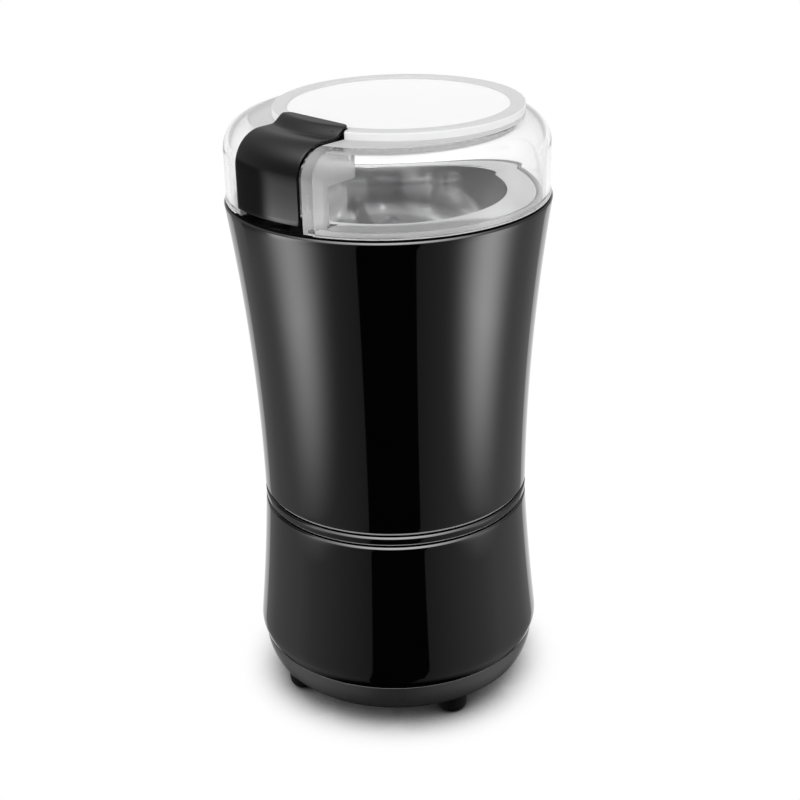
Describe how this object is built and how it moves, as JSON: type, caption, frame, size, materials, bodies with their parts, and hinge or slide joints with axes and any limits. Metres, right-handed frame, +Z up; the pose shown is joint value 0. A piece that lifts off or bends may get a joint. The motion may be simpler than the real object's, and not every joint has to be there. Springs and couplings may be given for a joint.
{
  "type": "electric blade grinder",
  "caption": "Waisted electric blade grinder for spice or coffee: lift-off clear lid with a hinged press switch, steel bowl, spinning blade, motor and rubber feet.",
  "frame": {"origin": "on the table under the vertical axis of the body, at the centre of the feet's plane", "axes": "+Z up along the body's axis, -Y towards the press button, +Y towards the cord inlet at the back"},
  "size_m": [0.0936, 0.0938, 0.1824],
  "materials": {
    "gloss_black": "glossy moulded black",
    "button_black": "semi-gloss moulded black",
    "deck_black": "satin moulded black",
    "base_grey": "satin moulded dark grey",
    "clear_lid": "clear polished plastic",
    "rubber_black": "matt rubber",
    "bowl_steel": "polished drawn stainless steel",
    "blade_steel": "ground stainless steel",
    "shaft_steel": "ground steel",
    "zinc_screw": "zinc plated",
    "bracket_metal": "die cast",
    "bracket_plastic": "moulded phenolic",
    "lamination": "stacked sheet steel",
    "winding_copper": "enamelled copper wire",
    "bronze": "sintered bronze and brass",
    "carbon": "pressed carbon",
    "spring_steel": "drawn spring wire",
    "white_plastic": "moulded natural plastic"
  },
  "bodies": {
    "base": {"upper_housing": "gloss_black", "trim_ring": "gloss_black", "lower_housing": "gloss_black", "base_plate": "base_grey", "rubber_feet": "rubber_black", "base_screws": "zinc_screw", "cord_gland": "rubber_black", "bowl_holder": "deck_black", "grinding_bowl": "bowl_steel", "shaft_seal": "rubber_black", "motor_dampers": "rubber_black", "motor_screws": "zinc_screw", "upper_bracket": "bracket_metal", "lower_bracket": "bracket_plastic", "upper_bearing": "bronze", "lower_bearing": "bronze", "stator_core": "lamination", "field_coils": "winding_copper", "motor_bolts": "zinc_screw", "brush_tubes": "bronze", "carbon_brushes": "carbon", "brush_springs": "spring_steel", "brush_caps": "bracket_plastic", "switch_bracket": "bracket_metal", "microswitch": "bracket_plastic", "switch_screws": "zinc_screw", "plunger_spring": "spring_steel"},
    "rotor": {"drive_shaft": "shaft_steel", "grinding_blade": "blade_steel", "blade_nut": "shaft_steel", "armature_core": "lamination", "armature_windings": "winding_copper", "commutator": "winding_copper", "thrust_washers": "shaft_steel", "cooling_fan": "bracket_plastic"},
    "lid": {"lid_shell": "clear_lid", "hinge_pin": "shaft_steel", "button_spring": "spring_steel"},
    "button": {"press_button": "button_black"},
    "plunger": {"switch_plunger": "white_plastic", "switch_nub": "white_plastic"}
  },
  "joints": [
    {"name": "blade_spin", "type": "hinge", "parent": "base", "child": "rotor", "pos_m": [0, 0, 0.1], "axis": [0, 0, 1], "continuous": true},
    {"name": "lid_lift", "type": "slide", "parent": "base", "child": "lid", "axis": [0, 0, 1], "range_m": [0, 0.07]},
    {"name": "button_press", "type": "hinge", "parent": "lid", "child": "button", "pos_m": [0, -0.028, 0.1735], "axis": [1, 0, 0], "range_deg": [0, 5], "stiffness_Nm_per_rad": 0.34, "springref_deg": -5.16, "deforming": ["button_spring"]},
    {"name": "plunger_slide", "type": "slide", "parent": "base", "child": "plunger", "axis": [0, 0, -1], "range_m": [0, 0.001], "deforming": ["plunger_spring"]}
  ],
  "couplings": [
    {"joint": "plunger_slide", "follows": "button_press", "m_per_rad": 0.011}
  ]
}
